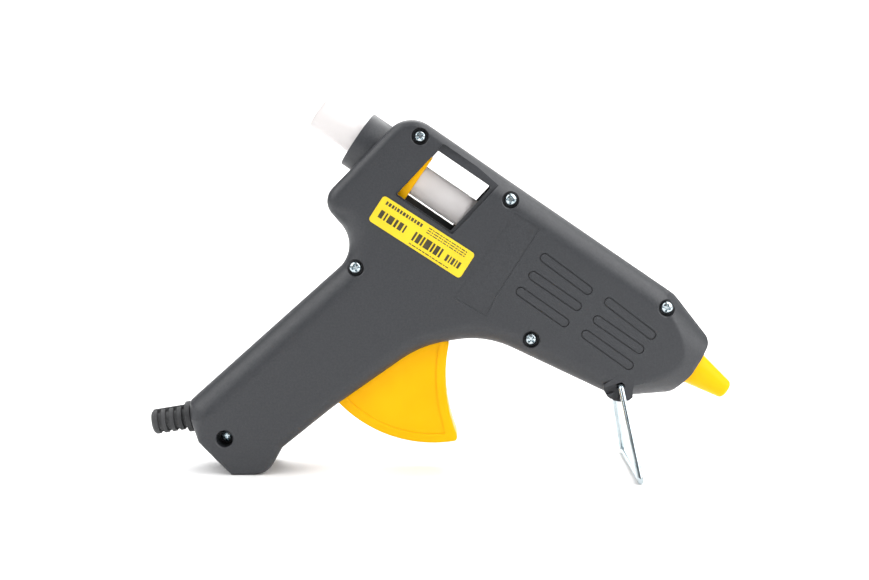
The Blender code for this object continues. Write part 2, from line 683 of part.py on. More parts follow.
def make_stand(barrel):
    pivot_x = TIP_X + STAND_PIVOT[0] * COS_TILT + STAND_PIVOT[1] * SIN_TILT
    pivot_z = TIP_Z - STAND_PIVOT[0] * SIN_TILT + STAND_PIVOT[1] * COS_TILT
    right = [(pivot_x, -10.0, pivot_z), (pivot_x, -STAND_TOP_HALF + 0.8, pivot_z)]
    right += [(pivot_x + 0.15, -STAND_TOP_HALF + 0.1, pivot_z - 0.9)]
    right += [(STAND_FOOT_X - 0.5, -STAND_FOOT_HALF - 0.1, STAND_WIRE + 2.0)]
    right += [(STAND_FOOT_X, -STAND_FOOT_HALF + 1.6, STAND_WIRE)]
    left = [(x, -y, z) for x, y, z in reversed(right)]
    route = []
    for x, y, z in right + left:
        u, v = standing(x, z)
        route.append((u, y, v))
    pivot = (STAND_PIVOT[0], 0, STAND_PIVOT[1])
    finish(wire(route, STAND_WIRE, resolution=2), "stand", "zinc", barrel, pivot)


def make_cord_entry(barrel):
    rings = []
    for k in range(4):
        start = 1.25 + RELIEF_PITCH * k
        rings += [(start, 3.7), (start + 1.1, 3.7), (start + 1.1, 4.3), (start + RELIEF_PITCH, 4.3)]
    profile = ((-9.5, CORD_RADIUS), (-9.5, 3.8), (-0.9, 3.8), (-0.9, 5.4), (0.9, 5.4), (0.9, 4.3), *rings,
               (12.8, 4.1), (13.2, 3.7), (13.2, CORD_RADIUS))
    finish(turned(profile, relief_frame(), 16), "strain_relief", "soft_rubber", barrel)

    flat, rise, crest = -SEAM - FIT, 3.6, 3.2
    section = ((-9.0, flat), (-9.0, flat - 2.0), (-crest - 1.6, flat - 2.0), (-crest, flat - rise - 1.8),
               (crest, flat - rise - 1.8), (crest + 1.6, flat - 2.0), (9.0, flat - 2.0), (9.0, flat),
               (crest + 0.4, flat), (crest - 1.0, flat - rise), (1.0 - crest, flat - rise),
               (-crest - 0.4, flat))
    points = [(CLAMP_OFFSET + along, y, across) for along in (-2.6, 2.6) for across, y in section]
    count = len(section)
    faces = [list(range(count)), list(range(count, 2 * count))]
    faces += [(i, (i + 1) % count, (i + 1) % count + count, i + count) for i in range(count)]
    frame = relief_frame()
    bar = solid([to_side(frame, p) for p in points], faces)
    boolean(bar, 'DIFFERENCE', [cross_rod(clamp_post(s), 1.5, -10, 10, 12) for s in (-1, 1)])
    finish(bar, "cord_clamp", "black_plastic", barrel)
    for number, side in ((1, -1), (2, 1)):
        screw = turned(((0, 0.0), (0, 1.7), (1.2, 1.7), (1.2, 1.0), (8.5, 1.0), (8.5, 0.0)),
                       screw_frame(clamp_post(side), -SEAM - FIT * 2 - 3.2), 12, bored=False)
        finish(screw, f"clamp_screw_{number}", "zinc", barrel)


def to_side(frame, point):
    """A point (along, y, across) of the cord entry, in the barrel frame."""
    along, y, across = point
    place = frame @ Vector((along, 0.0, 0.0))
    direction = frame.to_3x3() @ Vector((1.0, 0.0, 0.0))
    return place.x - across * direction.z, y, place.z + across * direction.x


def screw_frame(place, y):
    """A screw's own frame: its u axis points along +y from its head."""
    return Matrix.Translation((place[0], y, place[1])) @ Matrix.Rotation(math.radians(90), 4, 'Z')


def make_leads(barrel):
    """The two conductors from the cord clamp to the heating element, one on each side."""
    middle = -CHAMBER_RADIUS - FIT - 2.2
    for name, slot, side in (("lead_live", "lead_brown", -1), ("lead_neutral", "lead_blue", 1)):
        start = to_side(relief_frame(), (CLAMP_OFFSET - 4.5, 0.0, side * 1.2))
        route = [(start[0], side * 1.6, start[2]), (-127.5, side * 5.5, -96.0), (-124.0, side * 9.3, -82.0),
                 (-118.0, side * 9.8, -62.0), (-113.0, side * 9.8, -47.0), (-109.0, side * 9.8, -33.0),
                 (-101.0, side * 9.8, -24.0), (-91.0, side * 9.6, -19.0), (-80.0, side * 8.5, -16.5),
                 (-72.0, side * 5.5, -14.0), (-68.2, side * 3.4, -12.6),
                 (ELEMENT[0] - 3 * FIT, side * 3.0, middle)]
        finish(wire(smooth(route), 0.9), name, slot, barrel)


def smooth(route, steps=3):
    """Points of a smooth curve through a route."""
    ends = [route[0], *route, route[-1]]
    points = []
    for i in range(1, len(ends) - 2):
        before, here, there, after = (Vector(p) for p in ends[i - 1:i + 3])
        for k in range(steps):
            t = k / steps
            bend = 2 * before - 5 * here + 4 * there - after
            twist = 3 * here - before - 3 * there + after
            points.append(0.5 * (2 * here + (there - before) * t + bend * t ** 2 + twist * t ** 3))
    return points + [Vector(route[-1])]


def make_screws(barrel):
    depth = SCREW_HEAD_HEIGHT
    for number, place in enumerate(SCREWS, 1):
        head = SCREW_HEAD_Y + place[2]
        tip = SCREW_TIP_Y - head
        profile = ((0.0, 0.0), (0.0, 1.2), (0.4, 2.0), (0.9, SCREW_HEAD), (depth, SCREW_HEAD),
                   (depth, SCREW_RADIUS), (tip - 1.0, SCREW_RADIUS), (tip, 0.6), (tip, 0.0))
        screw = turned(profile, screw_frame(place, head), 16, bored=False)
        slots = []
        for turn in (0, 90):
            slot = block((-1.5, head - 1.0, -0.35), (1.5, head + 1.0, 0.35))
            slot.data.transform(Matrix.Translation(Vector((place[0], 0, place[1])) * MM)
                                @ Matrix.Rotation(math.radians(turn + 25 * number), 4, 'Y'))
            slots.append(slot)
        boolean(slots[0], 'UNION', [slots[1]])
        boolean(screw, 'DIFFERENCE', [slots[0]])
        finish(screw, f"housing_screw_{number}", "zinc", barrel)


def make_label(barrel):
    u, v = LABEL_SIZE[0] / 2, LABEL_SIZE[1] / 2
    corners = ((-u, -v, 1.2, 0), (u, -v, 1.2, 0), (u, v, 1.2, 0), (-u, v, 1.2, 0))
    turn = Matrix.Rotation(math.radians(LABEL_TURN), 2)
    outline = [tuple(Vector(LABEL_CENTRE) + turn @ Vector(p[:2])) for p in rounded(corners, 30)]
    finish(prism(outline, -HALF_WIDTH - 0.25, -HALF_WIDTH - 0.06), "rating_label", "label", barrel)


def main():
    for old in list(bpy.data.objects):
        bpy.data.objects.remove(old)
    barrel = bpy.data.objects.new("barrel_frame", None)
    bpy.context.scene.collection.objects.link(barrel)
    barrel.location = (TIP_X * MM, 0.0, TIP_Z * MM)
    barrel.rotation_euler = (0.0, math.radians(TILT), 0.0)

    finish(housing_half(-1), "right_housing", "housing", barrel)
    finish(housing_half(1), "left_housing", "housing", barrel)
    make_trigger(barrel)
    make_trigger_spring(barrel)
    make_feed(barrel)
    make_inlet(barrel)
    make_heater(barrel)
    make_nozzle(barrel)
    make_stand(barrel)
    make_cord_entry(barrel)
    make_leads(barrel)
    make_screws(barrel)
    make_label(barrel)


main()
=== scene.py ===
"""Looks of the hot-melt glue gun: fine surfaces, materials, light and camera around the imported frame.

Sizes are in millimetres until MM turns them into metres. As in the part's own source, most shapes are
described in the barrel frame: u runs forward along the glue stick, y to the gun's left, v up, and the
origin is the nozzle tip.
"""

import json
import math

import bmesh
import bpy
import numpy as np
from mathutils import Matrix, Vector
from mathutils.geometry import delaunay_2d_cdt


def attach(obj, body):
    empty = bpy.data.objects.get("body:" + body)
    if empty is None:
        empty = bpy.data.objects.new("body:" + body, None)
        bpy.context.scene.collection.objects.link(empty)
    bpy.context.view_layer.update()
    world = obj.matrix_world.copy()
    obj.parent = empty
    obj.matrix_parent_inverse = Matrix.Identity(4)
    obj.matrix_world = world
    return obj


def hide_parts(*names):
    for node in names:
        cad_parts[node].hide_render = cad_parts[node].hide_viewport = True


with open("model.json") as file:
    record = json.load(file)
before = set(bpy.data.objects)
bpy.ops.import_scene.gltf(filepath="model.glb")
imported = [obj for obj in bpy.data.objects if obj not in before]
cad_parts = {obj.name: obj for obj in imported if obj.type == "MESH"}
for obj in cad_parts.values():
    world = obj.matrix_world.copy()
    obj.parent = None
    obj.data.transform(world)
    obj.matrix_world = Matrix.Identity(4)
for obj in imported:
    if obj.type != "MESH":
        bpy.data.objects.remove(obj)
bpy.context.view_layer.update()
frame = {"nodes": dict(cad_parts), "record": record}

MM = 0.001

# The barrel frame, and the housing as the CAD model has them
TILT = 34.27
TIP_X, TIP_Z = 99.25, 27.8
HALF_WIDTH = 14.0
OUTSIDE = 20.0  # beyond either side of the housing
WALL = 2.0
SEAM = 0.15
LEAST_EDGE = 0.4
RIM = 1.2
STICK_RADIUS = 5.6
STICK_REAR = -170.2
STICK_LENGTH = 100.0
STICK_EDGE = 0.5
GUIDE_RADIUS = STICK_RADIUS + 0.35
COLLAR_RADIUS = 10.2
COLLAR_REAR = -154.0
COLLAR_FRONT = -145.3
PIVOT = (-99.0, -34.6)
TRIGGER_HALF = 7.5
TRIGGER_GAP = 0.4
TRIGGER_WALL = 2.0
TRIGGER_SIDE_WALL = 1.8
HUB_RADIUS = 4.7
HUB_START = 2.4
HUB_END = 7.7
PIVOT_BORE = 2.1
PIN_BORE = 1.3
CHEEK_RADII = (4.5, 2.3)
TRIGGER_REACH = 44.9
TRIGGER_ANGLES = (-10.5, 53.0)
FINGER_CENTRE = (60.0, -21.7)
FINGER_RADIUS = 55.6
PULL = 26.0
LUG_RADIUS = 26.6
SPRING_ROOM = 5.6
CHEEK = (2.2, 4.2)
CARRIAGE_FRONT = -128.9
CARRIAGE_LENGTH = 15.0
LINK_HALF = 1.5
FIT = 0.3
STAND_PIVOT = (-33.0, -18.6)
STAND_WIRE = 1.0
STAND_FIT = 0.2
STAND_END = 10.0
STAND_HOLE_END = 9.5
STAND_TOP_HALF = 15.3
STAND_FOOT_HALF = 26.0
STAND_FOOT_X = 67.2
STAND_BEND = 1.2
CORD_RADIUS = 3.2
RELIEF_CENTRE = (-87.0, 17.9)
RELIEF_TILT = 9.5
RELIEF_PITCH = 2.85
SCREWS = (
    (-136.4, 12.8, 0.0), (-99.4, 12.4, 0.0), (-129.6, -35.9, 0.0),
    (-67.0, -22.5, 0.0), (-35.3, 12.1, 0.0), (-133.8, -109.6, 4.0),
)
SCREW_TURNS = (20.0, 65.0, 40.0, 10.0, 75.0, 50.0)
SCREW_RADIUS = 1.4
SCREW_HEAD = 2.05
SCREW_HEAD_Y = -13.2
SCREW_HEAD_HEIGHT = 2.0
SCREW_DOME = 0.95
SCREW_TIP_Y = 8.8
WELL_RADIUS = 2.9
WELL_CHAMFER = 0.3
WELL_FIT = 0.2
POST_RADIUS = 4.2
POST_START = 0.4
WINDOW = ((-132.0, -7.5), (-110.2, -7.6), (-107.1, 12.2), (-128.9, 12.2))
WINDOW_RECESS = ((-132.5, -8.1), (-109.0, -8.2), (-105.3, 15.2), (-128.6, 15.2))
RECESS_DEPTH = 1.4
LABEL_CENTRE = (-117.0, -14.65)
LABEL_SIZE = (36.5, 9.9)
LABEL_TURN = 1.5
LABEL_CORNER = 1.2
# Front and back of the label's film and of its print, along y
LABEL_Y = (-HALF_WIDTH - 0.25, -HALF_WIDTH - 0.06)
PRINT_Y = (-HALF_WIDTH - 0.27, -HALF_WIDTH - 0.24)

# Fine relief of the sides
PANEL = ((-95.7, 9.6), (-85.9, 9.9), (-85.1, -16.8), (-84.0, -24.5), (-96.6, -25.4))
PANEL_DEPTH = 0.22
VENTS = (
    ((-79.0, 2.8), (-61.0, 2.1)), ((-78.8, -4.3), (-60.9, -4.4)), ((-79.2, -11.1), (-61.2, -11.3)),
    ((-52.7, 2.7), (-34.7, 1.7)), ((-52.4, -4.4), (-35.2, -4.5)), ((-52.8, -10.6), (-35.0, -11.0)),
)
VENT_RADIUS = 1.5
VENT_LINE = 0.22
VENT_DEPTH = 0.5
VENT_CORE_DEPTH = 1.4  # where the uncut middle's tool starts, deeper than the groove
STAND_GROOVES = (((-33.0, -18.4), (-31.4, -27.0)), ((-33.0, -18.4), (-38.6, -26.0)))
STAND_GROOVE_RADIUS = 1.25
STAND_GROOVE_DEPTH = 1.7
TRIGGER_RIM = 3.2
TRIGGER_RIM_DEPTH = 0.35
TRIGGER_EDGE = 0.9

# Cord entry: its two ribs, each from low to high across it in the side view and then along y, and its rings
RELIEF_RIBS = ((-3.55, -2.85, -1.35, 0.35), (2.85, 4.4, -0.85, 0.85))
RIB_START, RIB_END = 0.5, 12.4
RING_COUNT = 4
RING_START = 1.15
RING_GAP = 1.25
RING_LOW, RING_HIGH = 3.45, 4.3
RING_EDGE = 0.15

# Cross recess of the screws, at the mouth and at the bottom
CROSS_HALF_LENGTH = (1.85, 0.75)
CROSS_HALF_WIDTH = (0.46, 0.22)
CROSS_REACH = (-0.6, 1.5)

# How finely the round surfaces are cut up
ARC_STEP = 6.0
OUTLINE_STEP = 2.5
GRID = 1.6
NOSE_GRID = 0.8
# Low u, high u, low v and spacing of each field of grid points
GRID_FIELDS = ((-155.0, -48.0, -130.0, GRID), (-48.0, -13.0, -28.0, NOSE_GRID))
GRID_TOP = 18.0
GRID_APART = 0.4
INSET_APART = 0.25
BLEND = 0.28

COS_TILT = math.cos(math.radians(TILT))
SIN_TILT = math.sin(math.radians(TILT))
BARREL = Matrix.Translation((TIP_X * MM, 0.0, TIP_Z * MM)) @ Matrix.Rotation(math.radians(TILT), 4, 'Y')


def turn_down(x, z):
    """A direction of the standing frame (x, z) in the barrel frame (u, v)."""
    return x * COS_TILT - z * SIN_TILT, x * SIN_TILT + z * COS_TILT


def standing(x, z):
    """A point of the standing frame in the barrel frame."""
    return turn_down(x - TIP_X, z - TIP_Z)


# Housing outline: (u, v, corner radius, radius of the edge between side and rim)
OUTLINE = (
    (-144.6, 17.5, 10.0, 3.2),
    (-152.2, -23.6, 6.5, 4.0),
    (-132.1, -30.3, 10.5, 8.0),
    (*standing(-86.5, 24.0), 3.0, 9.0),
    (*standing(-85.3, 17.8), 4.0, 6.0),
    (*standing(-82.1, 11.0), 1.5, 2.0),
    (*standing(-71.0, 0.0), 0.8, 1.5),
    (*standing(-58.8, 0.0), 7.5, 2.0),
    (*standing(-53.7, 9.1), 2.0, 3.0),
    (-109.0, -79.2, 60.0, 4.0),
    (-95.9, -44.6, 36.0, 5.0),
    (-79.3, -30.3, 31.0, 6.0),
    (-31.9, -22.8, 6.0, 6.0),
    (-16.4, -11.1, 4.5, 3.0),
    (-14.9, -2.0, 12.0, 3.0),
    (-15.4, 11.3, 3.5, 3.0),
    (-34.5, 17.4, 12.0, 8.0),
    (-104.0, 17.4, 200.0, 8.0),
    (-126.0, 17.5, 60.0, 4.0),
)
NOSE_FRONT = (-15.0, 0.5, 11.6, 11.5)
NOSE_BACK = (-40.0, -6.1, 25.8, 22.8)
NOSE_END = -50.0
STAND_BOSS = (
    (-38.0, -21.4), (-37.2, -22.5), (-34.6, -24.0), (-31.5, -23.9), (-29.4, -22.4), (-28.0, -21.0),
    (-27.5, -19.3), (-28.7, -17.7), (-30.6, -13.5), (-36.0, -16.0),
)
BOSS_PROUD = 0.05


# ---------------------------------------------------------------- materials

NOISE_LOW, NOISE_HIGH = 0.3, 0.7
COLOUR_A, COLOUR_B, COLOUR_RESULT = 6, 7, 2  # sockets of a Mix node that mixes colours
BUMP_STRENGTH = 0.6
PATCHES = 0.2  # scale of the uneven gloss, as a share of the grain's


def noise(tree, scale, detail=3.0):
    """The value of a noise texture in object coordinates."""
    place = tree.nodes.new('ShaderNodeTexCoord')
    texture = tree.nodes.new('ShaderNodeTexNoise')
    texture.inputs['Scale'].default_value = scale
    texture.inputs['Detail'].default_value = detail
    tree.links.new(place.outputs['Object'], texture.inputs['Vector'])
    return texture.outputs['Fac']


def spread(tree, value, low, high):
    """A value remapped from the middle of a noise to low and high."""
    change = tree.nodes.new('ShaderNodeMapRange')
    change.inputs['From Min'].default_value = NOISE_LOW
    change.inputs['From Max'].default_value = NOISE_HIGH
    change.inputs['To Min'].default_value = low
    change.inputs['To Max'].default_value = high
    tree.links.new(value, change.inputs['Value'])
    return change.outputs['Result']


def material(name, dark, light, rough, mottle=60.0, grain=2600.0, relief=0.00002, metallic=0.0, **constants):
    """A Principled material whose colour, roughness and relief vary by noise."""
    made = bpy.data.materials.new(name)
    made.use_nodes = True
    tree = made.node_tree
    shader = tree.nodes['Principled BSDF']
    shader.inputs['Metallic'].default_value = metallic
    for socket, value in constants.items():
        shader.inputs[socket.replace('_', ' ')].default_value = value
    mix = tree.nodes.new('ShaderNodeMix')
    mix.data_type = 'RGBA'
    mix.inputs[COLOUR_A].default_value = (*dark, 1.0)
    mix.inputs[COLOUR_B].default_value = (*light, 1.0)
    tree.links.new(spread(tree, noise(tree, mottle), 0.0, 1.0), mix.inputs[0])
    tree.links.new(mix.outputs[COLOUR_RESULT], shader.inputs['Base Color'])
    roughness = spread(tree, noise(tree, grain * PATCHES), *rough)
    tree.links.new(roughness, shader.inputs['Roughness'])
    bump = tree.nodes.new('ShaderNodeBump')
    bump.inputs['Strength'].default_value = BUMP_STRENGTH
    bump.inputs['Distance'].default_value = relief
    tree.links.new(noise(tree, grain, 2.0), bump.inputs['Height'])
    tree.links.new(bump.outputs['Normal'], shader.inputs['Normal'])
    return made


MATERIALS = {
    "housing": material("moulded_grey", (0.024, 0.026, 0.030), (0.033, 0.035, 0.040), (0.40, 0.50),
                        mottle=1500.0, grain=3000.0, relief=0.00006),
    "yellow_plastic": material("warm_yellow", (0.92, 0.44, 0.0), (0.98, 0.50, 0.001), (0.28, 0.38),
                               mottle=50.0, grain=1800.0, relief=0.00001, Specular_IOR_Level=0.1),
    "label": material("label_film", (0.74, 0.54, 0.012), (0.80, 0.61, 0.016), (0.38, 0.46),
                      mottle=120.0, grain=1500.0, relief=0.000005),
    "glue": material("milky_glue", (0.715, 0.685, 0.68), (0.765, 0.74, 0.735), (0.32, 0.42),
                     mottle=90.0, grain=900.0, relief=0.00001, Transmission_Weight=0.50, IOR=1.2),
    "black_plastic": material("black_moulding", (0.016, 0.016, 0.018), (0.024, 0.024, 0.026), (0.45, 0.6)),
    "soft_rubber": material("soft_black", (0.030, 0.031, 0.033), (0.042, 0.043, 0.045), (0.55, 0.72),
                            mottle=150.0, grain=2200.0, relief=0.00003),
    "silicone": material("red_silicone", (0.45, 0.07, 0.03), (0.60, 0.12, 0.06), (0.45, 0.6)),
    "zinc": material("bright_zinc", (0.42, 0.50, 0.54), (0.58, 0.65, 0.68), (0.12, 0.22), mottle=350.0,
                     grain=2400.0, relief=0.000008, metallic=1.0),
    "spring_steel": material("drawn_steel", (0.48, 0.48, 0.50), (0.60, 0.60, 0.62), (0.22, 0.38),
                             mottle=300.0, metallic=1.0, relief=0.000006),
    "aluminium_alloy": material("cast_alloy", (0.66, 0.67, 0.68), (0.80, 0.81, 0.82), (0.35, 0.55),
                                mottle=200.0, grain=1600.0, relief=0.00004, metallic=1.0),
    "brass": material("turned_brass", (0.70, 0.48, 0.18), (0.82, 0.60, 0.27), (0.2, 0.35), metallic=1.0),
    "ceramic": material("plain_ceramic", (0.76, 0.74, 0.68), (0.88, 0.86, 0.81), (0.5, 0.7)),
    "lead_brown": material("brown_sleeve", (0.15, 0.055, 0.02), (0.21, 0.085, 0.04), (0.4, 0.55)),
    "lead_blue": material("blue_sleeve", (0.02, 0.09, 0.38), (0.04, 0.15, 0.52), (0.4, 0.55)),
}
INK = material("label_ink", (0.035, 0.03, 0.01), (0.06, 0.05, 0.02), (0.4, 0.5), mottle=400.0)


# ---------------------------------------------------------------- making meshes

def solid(points, faces):
    """An object from points in millimetres and faces, with its faces turned outwards."""
    mesh = bpy.data.meshes.new("solid")
    mesh.from_pydata([Vector(p) * MM for p in points], [], faces)
    bm = bmesh.new()
    bm.from_mesh(mesh)
    bmesh.ops.recalc_face_normals(bm, faces=bm.faces)
    bm.to_mesh(mesh)
    bm.free()
    made = bpy.data.objects.new("solid", mesh)
    bpy.context.scene.collection.objects.link(made)
    return made


def finish(piece, name, body, slot, *replaced, finish_material=None, sharp=32.0):
    """Move a piece from the barrel frame to the world's, with its material, and let it ride on its body."""
    piece.name = name
    piece.data.name = name
    piece.data.transform(BARREL)
    piece.data.materials.clear()
    piece.data.materials.append(finish_material or MATERIALS[slot])
    piece.data.shade_smooth()
    piece.data.set_sharp_from_angle(angle=math.radians(sharp))
    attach(piece, body)
    if replaced:
        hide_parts(*replaced)
    return piece


def applied(body):
    """Apply a piece's modifiers."""
    bpy.context.view_layer.update()
    evaluated = body.evaluated_get(bpy.context.evaluated_depsgraph_get())
    mesh = bpy.data.meshes.new_from_object(evaluated)
    body.modifiers.clear()
    body.data = mesh
    return body


def boolean(body, operation, tools):
    """Cut tools from body or join them to it, and remove them."""
    for tool in tools:
        step = body.modifiers.new(operation, 'BOOLEAN')
        step.operation = operation
        step.object = tool
    applied(body)
    for tool in tools:
        bpy.data.objects.remove(tool)
    return body


def joined(pieces):
    """Several separate bodies as one object."""
    bm = bmesh.new()
    for piece in pieces:
        bm.from_mesh(piece.data)
    bm.to_mesh(pieces[0].data)
    bm.free()
    for piece in pieces[1:]:
        bpy.data.objects.remove(piece)
    return pieces[0]


def bevelled(piece, width, segments=2, angle=30.0):
    """Round the sharp edges of a piece."""
    bevel = piece.modifiers.new("bevel", 'BEVEL')
    bevel.width = width * MM
    bevel.segments = segments
    bevel.limit_method = 'ANGLE'
    bevel.angle_limit = math.radians(angle)
    return applied(piece)


def prism(outline, low, high):
    """An outline in (u, v) extruded from y = low to y = high."""
    count = len(outline)
    points = [(p[0], y, p[1]) for y in (low, high) for p in outline]
    faces = [list(range(count)), list(range(count, 2 * count))]
    faces += [(i, (i + 1) % count, (i + 1) % count + count, i + count) for i in range(count)]
    return solid(points, faces)


def block(low, high):
    """A box between two corners."""
    outline = ((low[0], low[2]), (high[0], low[2]), (high[0], high[2]), (low[0], high[2]))
    return prism(outline, low[1], high[1])


def turned(profile, placement=Matrix(), sides=48, bored=True):
    """A profile of (along, radius) turned about the u axis, then placed. A bored one is a closed
    loop; another one starts and ends on the axis."""
    points, rings = [], []
    for along, radius in profile:
        if radius == 0.0:
            rings.append([len(points)])
            points.append((along, 0.0, 0.0))
            continue
        rings.append(list(range(len(points), len(points) + sides)))
        for k in range(sides):
            angle = 2 * math.pi * (k + 0.5) / sides
            points.append((along, radius * math.cos(angle), radius * math.sin(angle)))
    faces = []
    for here, there in zip(rings, rings[1:] + rings[:1] if bored else rings[1:]):
        for k in range(sides):
            m = (k + 1) % sides
            if len(here) == 1:
                faces.append((here[0], there[k], there[m]))
            elif len(there) == 1:
                faces.append((here[k], there[0], here[m]))
            else:
                faces.append((here[k], there[k], there[m], here[m]))
    return solid([placement @ Vector(p) for p in points], faces)


def scaled(placement):
    """A placement in millimetres as one in metres."""
    result = placement.copy()
    result.translation = placement.translation * MM
    return result


def rod(start, end, radius, sides=32):
    """A cylinder between two points."""
    along = Vector(end) - Vector(start)
    turn = along.to_track_quat('X', 'Z').to_matrix().to_4x4()
    profile = ((0, 0.0), (0, radius), (along.length, radius), (along.length, 0.0))
    return turned(profile, Matrix.Translation(start) @ turn, sides, bored=False)


def cross_rod(place, radius, low, high, sides=32):
    """A cylinder along y at a place (u, v)."""
    return rod((place[0], low, place[1]), (place[0], high, place[1]), radius, sides)


def arc(centre, radius, start, end, step=ARC_STEP):
    """Points on an arc, its angles in degrees from the first axis."""
    count = max(1, round(abs(end - start) / step))
    angles = [math.radians(start + (end - start) * k / count) for k in range(count + 1)]
    return [(centre[0] + radius * math.cos(a), centre[1] + radius * math.sin(a)) for a in angles]


def rounded(corners, step=ARC_STEP):
    """Outline points of a polygon with rounded corners, each with its edge radius."""
    points = []
    count = len(corners)
    for i, (u, v, radius, edge) in enumerate(corners):
        here = Vector((u, v))
        back = (Vector(corners[i - 1][:2]) - here).normalized()
        ahead = (Vector(corners[(i + 1) % count][:2]) - here).normalized()
        half = back.angle(ahead) / 2
        centre = here + (back + ahead).normalized() * radius / math.sin(half)
        start = here + back * radius / math.tan(half) - centre
        turn = math.pi - 2 * half
        if back.cross(ahead) > 0:
            turn = -turn
        steps = max(1, round(math.degrees(abs(turn)) / step))
        for k in range(steps + 1):
            spoke = start.copy()
            spoke.rotate(Matrix.Rotation(turn * k / steps, 2))
            points.append((*(centre + spoke), edge))
    return points


def subdivided(outline, longest):
    """The same outline with points added where two neighbours are further apart than longest."""
    points = []
    for i, here in enumerate(outline):
        there = outline[(i + 1) % len(outline)]
        steps = max(1, math.ceil(math.dist(here[:2], there[:2]) / longest))
        for k in range(steps):
            points.append(tuple(a + (b - a) * k / steps for a, b in zip(here, there)))
    return points


def rounded_polygon(corners, radius):
    """Points (u, v) of a polygon whose corners all have one radius."""
    return [p[:2] for p in rounded([(*corner, radius, 0.0) for corner in corners], 15.0)]


def outward(side, start, further=0.0):
    """The stretch of y from a distance off the middle plane to beyond one side, low end first."""
    return sorted((side * start, side * (OUTSIDE + further)))


def capsule(start, end, radius):
    """Outline of a slot with round ends."""
    angle = math.degrees(math.atan2(end[1] - start[1], end[0] - start[0]))
    return arc(end, radius, angle - 90, angle + 90, 15.0) + arc(start, radius, angle + 90, angle + 270, 15.0)


# ---------------------------------------------------------------- housing

def edge_distance(points, outline):
    """Distance of each point to the outline, and the edge radius at the nearest place on it."""
    start = np.array([p[:2] for p in outline])
    end = np.roll(start, -1, axis=0)
    radius = np.array([p[2] for p in outline])
    next_radius = np.roll(radius, -1)
    span = end - start
    places = np.array(points)[:, None, :]
    share = ((places - start) * span).sum(2) / np.maximum((span ** 2).sum(1), 1e-9)
    share = np.clip(share, 0.0, 1.0)
    gap = np.linalg.norm(places - start - share[..., None] * span, axis=2)
    nearest = gap.argmin(1)
    rows = np.arange(len(points))
    share = share[rows, nearest]
    return gap[rows, nearest], radius[nearest] * (1 - share) + next_radius[nearest] * share


def nose_width(u, v):
    """Half-width of the oblique cone that narrows the nose."""
    t = (u - NOSE_FRONT[0]) / (NOSE_BACK[0] - NOSE_FRONT[0])
    centre, height, width = (a + t * (b - a) for a, b in zip(NOSE_FRONT[1:], NOSE_BACK[1:]))
    cone = width * np.sqrt(np.clip(1 - ((v - centre) / height) ** 2, 0.0, 1.0))
    return np.where(u > NOSE_END, cone, 2 * HALF_WIDTH)


def pillow_width(distance, edge, inner):
    """Half-width of the rounded side at a distance from the outline."""
    depth = np.clip(edge - distance, 0.0, inner)
    return HALF_WIDTH - edge + np.sqrt(inner ** 2 - depth ** 2)


def half_width(points, outline, wall):
    """Half-width of the housing, or of its cavity when wall isn't 0, at points of the side view."""
    distance, edge = edge_distance(points, outline)
    if wall:
        edge = np.maximum(edge, wall + LEAST_EDGE)
    inner = edge - wall
    pillow = pillow_width(distance, edge, inner)
    places = np.array(points)
    cone = nose_width(places[:, 0], places[:, 1]) - 1.1 * wall
    share = np.clip(0.5 + 0.5 * (cone - pillow) / BLEND, 0.0, 1.0)
    width = cone * (1 - share) + pillow * share - BLEND * share * (1 - share)
    return np.maximum(width, RIM)


def inset(outline, wall, angle):
    """Outline points moved inwards to where the edge has turned by an angle."""
    count = len(outline)
    moved, depths = [], []
    for i, (u, v, edge) in enumerate(outline):
        here = Vector((u, v))
        along = (here - Vector(outline[i - 1][:2])).normalized()
        along += (Vector(outline[(i + 1) % count][:2]) - here).normalized()
        inward = Vector((-along.y, along.x)).normalized()
        if wall:
            edge = max(edge, wall + LEAST_EDGE)
        depth = edge - (edge - wall) * math.cos(angle)
        moved.append((u + inward.x * depth, v + inward.y * depth))
        depths.append(depth)
    distance, _ = edge_distance(moved, outline)
    kept = []
    for place, gap, depth in zip(moved, distance, depths):
        clear = all(math.dist(place, other) > INSET_APART for other in kept)
        if gap > 0.97 * depth - 0.02 and clear:
            kept.append(place)
    return kept


def grid_points(outline, taken):
    """Points spread over the side, close together on the nose."""
    places = np.array([(u, v) for low_u, high_u, low_v, step in GRID_FIELDS
                       for u in np.arange(low_u, high_u, step) for v in np.arange(low_v, GRID_TOP, step)])
    places = places[inside_outline(places, outline)]
    distance, edge = edge_distance(places, outline)
    on_nose = nose_width(places[:, 0], places[:, 1]) < pillow_width(distance, edge, edge) + BLEND
    places = places[(distance > np.where(on_nose, 0.6, edge + 0.6))]
    taken = np.array(taken)
    kept = [p for p in places if np.min(np.sum((taken - p) ** 2, axis=1)) > GRID_APART ** 2]
    return [tuple(p) for p in kept]


def inside_outline(places, outline):
    """Which points lie inside an outline."""
    inside = np.zeros(len(places), bool)
    u, v = places[:, 0], places[:, 1]
    for i, there in enumerate(outline):
        here = outline[i - 1]
        if here[1] == there[1]:
            continue
        crosses = (here[1] > v) != (there[1] > v)
        at = here[0] + (v - here[1]) * (there[0] - here[0]) / (there[1] - here[1])
        inside ^= crosses & (u < at)
    return inside


